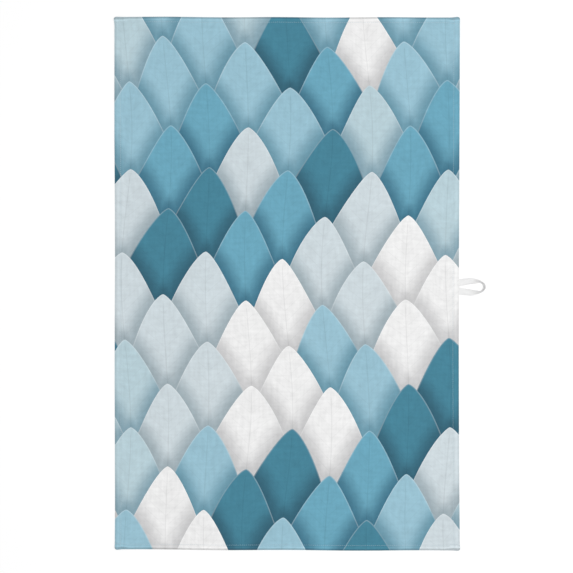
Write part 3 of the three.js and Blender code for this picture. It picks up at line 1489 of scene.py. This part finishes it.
@dataclass
class HemStitching:
    """The lines of lockstitch that hold the hems, seen on both sides.

    Attributes:
        stitch: the length of a stitch and its gap.
        gap: the gap between two stitches.
        proud: how far the thread's middle stands out of the hem's top.
        under_proud: how far it stands out of the underside.
        sunk: where it is at a stitch's ends, from the cloth's face.
        arch: the shape of a stitch: 1 is a plain arch, less is flatter on top.
        tape_face: how high the thread's middle lies where it holds the tape.
        uneven_length: how unevenly the stitches are spaced.
        uneven_side: how far they stray to the side.
        up_step: how far above the thread a place is read to find the way up.
        end_clear: how far from an end hem the lines on the side hems' undersides stop.
        corner_clear: how far from the side folds the lines on the end hems stop.
        steps: how many places a stitch has.
    """

    cloth: TowelCloth
    thread: Thread = field(default_factory=Thread)
    stitch: float = 2.9 * MM
    gap: float = 0.5 * MM
    proud: float = 0.1 * MM
    under_proud: float = 0.0
    sunk: float = -0.12 * MM
    arch: float = 0.6
    tape_face: float = 0.1 * MM
    uneven_length: float = 0.06 * MM
    uneven_side: float = 0.08 * MM
    up_step: float = 0.1 * MM
    end_clear: float = 1 * MM
    corner_clear: float = 1.2 * MM
    steps: int = 5

    def line(self, fixed: float, reach: float, crosswise: bool, proud: float,
             dice: np.random.Generator) -> tuple[Numbers, Numbers]:
        """Places one line of stitches, with none round the outer fold of an end hem.

        Args:
            fixed: the place that the whole line shares, on the cut cloth.
            reach: how far the line runs each way from the middle.
            crosswise: True if the line runs across the towel.
            proud: how far the thread's middle stands out of the cloth.
            dice: where the small unevenness of the stitches comes from.

        Returns:
            The stitches' paths, and the directions away from the cloth.
        """
        count = int(2.0 * reach / self.stitch)
        start = (np.arange(count) - count / 2.0) * self.stitch
        flat, under, *_ = self.cloth.ends.turns()
        middle = np.abs(start + self.stitch / 2.0)
        start = start[(middle < flat - self.stitch / 2.0) | (middle > under + self.stitch / 2.0)]
        start = start + dice.normal(0.0, self.uneven_length, len(start))
        share = np.linspace(0.0, 1.0, self.steps)
        run = start[:, None] + share * (self.stitch - self.gap)
        stray = dice.normal(0.0, self.uneven_side, len(start))[:, None] + np.zeros_like(run)
        above = self.sunk + (proud - self.sunk) * np.sin(share * math.pi) ** self.arch
        above = np.broadcast_to(above, run.shape)
        across, along = (run, fixed + stray) if crosswise else (fixed + stray, run)
        path = self.cloth.spot(across, along, above)
        ups = self.cloth.spot(across, along, above + self.up_step) - path
        middle = path[:, self.steps // 2]
        under_tape = (ups[:, 0, 2] < 0.0) & self.cloth.on_tape(middle[:, 0], middle[:, 1])
        path[under_tape, :, 2] = self.tape_face - above[under_tape]
        return path, ups

    def track(self, edge: TurnedEdge, seen: HemSide) -> float:
        """Finds where a hem's line of stitches is on the cut cloth.

        Args:
            edge: the pair of hems.
            seen: which side of the hem.

        Returns:
            The length of cloth from the middle.
        """
        if seen is HemSide.TOP:
            return edge.half_size - edge.stitch_inset
        return edge.under_at(edge.stitch_inset)

    def build(self) -> bpy.types.Object:
        """Builds all the hem stitches as one piece.

        Returns:
            The stitches.
        """
        dice = np.random.default_rng(SEED)
        sides, ends = self.cloth.sides, self.cloth.ends
        end_reach = sides.half_size - self.corner_clear
        lines = []
        for way in (-1, 1):
            for seen in HemSide:
                top = seen is HemSide.TOP
                side_reach = ends.turns()[2] if top else ends.half_size - ends.hem - self.end_clear
                proud = self.proud if top else self.under_proud
                for edge, reach in ((sides, side_reach), (ends, end_reach)):
                    fixed = way * self.track(edge, seen)
                    lines.append(self.line(fixed, reach, edge is ends, proud, dice))
        paths = np.concatenate([path for path, _ in lines])
        ups = np.concatenate([up for _, up in lines])
        points, faces, twist = self.thread.tubes(paths, ups)
        return mesh_object("hem_stitches", points, faces, {"thread": twist}, [SewingThread().make()])


# ------------------------------------------------------------------------------- the loop


@dataclass
class HangingLoop:
    """The tape loop: its ends lie flat under the side hem, and its bend stands on edge.

    Attributes:
        hem_edge: how far from the towel's middle the side hem ends.
        middle_y: where along the towel the loop's middle is.
        root_half: how far from there a leg's middle is at the hem.
        bend_half: how far it is where the bend starts.
        bend_start: how far out from the hem that is.
        bend_reach: how far the bend goes on from there.
        bend_point: the shape of the bend: 1 is round, more is pointed.
        tuck: how far the ends reach in under the hem.
        lean_to: how far out from the hem the tape first has its full lean.
        lean_curve: how late the lean grows: 1 is evenly.
        tip_degrees: the lean at the tip of the bend.
        cup_degrees: the bow across the tape, from its middle to its side.
        cup_middle: how far out from the hem it is full.
        cup_reach: how far it reaches each way from there.
        least_cup: the bow used where there is none, which keeps its radius finite.
    """

    hem_edge: float
    width: float = 10 * MM
    thickness: float = 0.6 * MM
    middle_y: float = -4.8 * MM
    root_half: float = 6.0 * MM
    bend_half: float = 7.4 * MM
    bend_start: float = 26.5 * MM
    bend_reach: float = 8.0 * MM
    bend_point: float = 1.12
    tuck: float = 10.2 * MM
    lean_to: float = 29.5 * MM
    lean_curve: float = 1.4
    lean_degrees: float = 80.0
    tip_degrees: float = 76.0
    cup_degrees: float = 44.0
    cup_middle: float = 11 * MM
    cup_reach: float = 15 * MM
    leg_steps: int = 34
    bend_steps: int = 36
    selvedge_steps: int = 6
    face_steps: int = 8
    least_cup: float = 1e-4

    @property
    def length(self) -> float:
        """The length that the tape is cut to."""
        return float(distance_along(self.route())[-1])

    def route(self) -> Numbers:
        """Lists the tape's middle line.

        Returns:
            Its places, as distance out from the hem and to the side of the loop.
        """
        out = np.linspace(-self.tuck, self.bend_start, self.leg_steps)
        widen = soft_step(0.0, self.bend_start, out)
        aside = self.root_half + (self.bend_half - self.root_half) * widen
        angle = np.linspace(math.pi / 2.0, -math.pi / 2.0, self.bend_steps + 1)[1:-1]
        bend = np.stack([self.bend_start + self.bend_reach * np.cos(angle) ** self.bend_point,
                         self.bend_half * np.sin(angle)], axis=-1)
        upper = np.stack([out, aside], axis=-1)
        lower = upper[::-1] * (1.0, -1.0)
        return np.concatenate([upper, bend, lower])

    def section(self) -> Numbers:
        """Lists the tape's outline, flat on both faces with rounded selvedges.

        Returns:
            Its places, as distance across the tape and above its middle.
        """
        half, edge = self.width / 2.0, self.thickness / 2.0
        angle = np.linspace(-math.pi / 2.0, math.pi / 2.0, self.selvedge_steps)
        right = np.stack([half - edge + edge * np.cos(angle), edge * np.sin(angle)], axis=-1)
        face = np.linspace(half - edge, edge - half, self.face_steps)[1:-1]
        top = np.stack([face, np.full_like(face, edge)], axis=-1)
        return np.concatenate([right, top, -right, -top])

    def build(self) -> bpy.types.Object:
        """Builds the loop by sweeping its outline along its route, bowed and leaning as it goes.

        Returns:
            The loop.
        """
        route = self.route()
        heading = np.gradient(route, axis=0)
        heading /= np.linalg.norm(heading, axis=1, keepdims=True)
        left = np.stack([-heading[:, 1], heading[:, 0]], axis=-1)
        lean, cup = self.lean(route[:, 0]), self.cup(route[:, 0])
        shape = self.section()
        w, t = shape[:, 0], shape[:, 1]
        bow_radius = (self.width / 2.0) / np.maximum(cup, self.least_cup)[:, None]
        bow = w / bow_radius
        wide = (bow_radius + t) * np.sin(bow)
        high = (bow_radius + t) * np.cos(bow) - bow_radius
        sideways = np.cos(lean)[:, None] * wide - np.sin(lean)[:, None] * high
        up = np.sin(lean)[:, None] * wide + np.cos(lean)[:, None] * high
        up = up - up.min(axis=1, keepdims=True)
        flat = route[:, None] + sideways[..., None] * left[:, None]
        points = np.stack([self.hem_edge + flat[..., 0], self.middle_y + flat[..., 1], up], axis=-1)
        rings, around = up.shape
        faces = self.wrap(rings, around)
        weave = np.stack(np.broadcast_arrays(w + self.width, distance_along(route)[:, None]), axis=-1)
        weave = weave.reshape(-1, 2)[faces.ravel()]
        return mesh_object("tape_loop", points.reshape(-1, 3), faces, {"tape": weave},
                           [HerringboneTape().make()])

    def lean(self, out: Numbers) -> Numbers:
        """Works out how far the tape leans up onto its edge.

        Args:
            out: distances out from the hem.

        Returns:
            The angle at each, in radians.
        """
        rise = np.clip(out / self.lean_to, 0.0, 1.0)
        tip = soft_step(self.lean_to, self.bend_start + self.bend_reach, out)
        degrees = self.lean_degrees * rise ** self.lean_curve
        return np.radians(degrees + (self.tip_degrees - self.lean_degrees) * tip)

    def cup(self, out: Numbers) -> Numbers:
        """Works out how far the tape is bowed across its width, as the angle from its middle to its side.

        Args:
            out: distances out from the hem.

        Returns:
            The angle at each, in radians.
        """
        off = np.abs(out - self.cup_middle) / self.cup_reach
        return np.radians(self.cup_degrees) * soft_bump(np.minimum(off, 1.0))

    def wrap(self, rings: int, around: int) -> Numbers:
        """Lists the faces of an outline swept along a route, closed at both ends.

        Args:
            rings: how many times the outline is repeated.
            around: how many points it has.

        Returns:
            The four points of each face.
        """
        j, i = np.mgrid[0:rings - 1, 0:around]
        after = (i + 1) % around
        here, there = j * around, (j + 1) * around
        sides = np.stack([here + i, here + after, there + after, there + i], axis=-1).reshape(-1, 4)
        k = np.arange(around // 2 - 1)
        cap = np.stack([k, k + 1, around - 2 - k, around - 1 - k], axis=-1)
        return np.concatenate([sides, cap[:, ::-1], cap + (rings - 1) * around])


# ------------------------------------------------------------------------------- the studio


@dataclass
class Studio:
    """A plain pale surface, soft light and a camera straight above.

    Attributes:
        view_width: how much of the surface the camera sees from side to side.
        see_to: how far the camera sees.
        surface_drop: how far below the towel the surface is.
        sky_level: how strongly the sky lights the towel.
    """

    view_width: float = 798.5 * MM
    camera_height: float = 2.4
    camera_x: float = -0.92 * MM
    camera_y: float = -4.28 * MM
    sensor: float = 36.0
    see_to: float = 50.0
    surface_size: float = 8.0
    surface_drop: float = 0.1 * MM
    sky_level: float = 0.5
    key_power: float = 62.0
    key_size: float = 1.8
    key_place: tuple[float, float, float] = (0.65, 0.0, 3.0)

    def surface(self) -> None:
        """Lays the surface."""
        half = self.surface_size / 2.0
        corners = np.array([[-half, -half], [half, -half], [half, half], [-half, half]])
        points = np.concatenate([corners, np.full((4, 1), -self.surface_drop)], axis=1)
        floor = mesh_object("surface", points, np.array([[0, 1, 2, 3]]), {}, [PaleSurface().make()])

    def camera(self) -> None:
        """Sets the camera straight above."""
        data = bpy.data.cameras.new("camera")
        data.sensor_width = self.sensor
        data.lens = self.sensor * self.camera_height / self.view_width
        data.clip_end = self.see_to
        eye = bpy.data.objects.new("camera", data)
        eye.location = (self.camera_x, self.camera_y, self.camera_height)
        bpy.context.scene.collection.objects.link(eye)
        bpy.context.scene.camera = eye

    def lamp(self) -> None:
        """Hangs one large soft lamp overhead, a little to the right."""
        data = bpy.data.lights.new("key", "AREA")
        data.energy = self.key_power
        data.size = self.key_size
        lamp = bpy.data.objects.new("key", data)
        lamp.location = self.key_place
        lamp.visible_camera = False
        aim = -np.array(self.key_place)
        aim /= np.linalg.norm(aim)
        lamp.rotation_euler = (math.acos(-aim[2]), 0.0, math.atan2(aim[1], aim[0]) - math.pi / 2.0)
        bpy.context.scene.collection.objects.link(lamp)

    def sky(self) -> None:
        """Puts an even sky all round, which shows white to the camera."""
        world = bpy.data.worlds.new("sky")
        world.use_nodes = True
        tree = world.node_tree
        tree.nodes.clear()
        back = tree.nodes.new("ShaderNodeBackground")
        back.inputs["Color"].default_value = (1.0, 1.0, 1.0, 1.0)
        path = tree.nodes.new("ShaderNodeLightPath")
        level = tree.nodes.new("ShaderNodeMapRange")
        level.inputs["To Min"].default_value = self.sky_level
        level.inputs["To Max"].default_value = 1.0
        out = tree.nodes.new("ShaderNodeOutputWorld")
        tree.links.new(path.outputs["Is Camera Ray"], level.inputs["Value"])
        tree.links.new(level.outputs[0], back.inputs["Strength"])
        tree.links.new(back.outputs[0], out.inputs[0])
        bpy.context.scene.world = world

    def build(self) -> None:
        """Sets up everything that isn't the towel."""
        self.surface()
        self.camera()
        self.lamp()
        self.sky()
        bpy.context.scene.view_settings.view_transform = "Standard"


# ------------------------------------------------------------------------------- the tea towel


def report(piece: bpy.types.Object) -> None:
    """Logs a finished piece's name and size."""
    LOG.info("%s: %d faces, %s mm", piece.name, len(piece.data.polygons),
             " x ".join(f"{side / MM:.1f}" for side in piece.dimensions))


def main() -> None:
    """Builds the tea towel and the studio around it."""
    logging.basicConfig(level=logging.INFO, format="%(name)s %(message)s")
    Studio().build()
    cloth = TowelCloth()
    loop = HangingLoop(hem_edge=cloth.sides.half_size)
    panel = cloth.build()
    tape = loop.build()
    stitches = HemStitching(cloth).build()
    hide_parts("towel_cloth")
    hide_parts("hanging_loop")
    for piece, slot in (
        (panel, "printed_cotton"), (tape, "cotton_tape"), (stitches, "sewing_thread"),
    ):
        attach(piece, BODY)
        report(piece)
    cloth.flat_size
    loop.length
    bpy.context.view_layer.update()


if __name__ == "__main__":
    main()
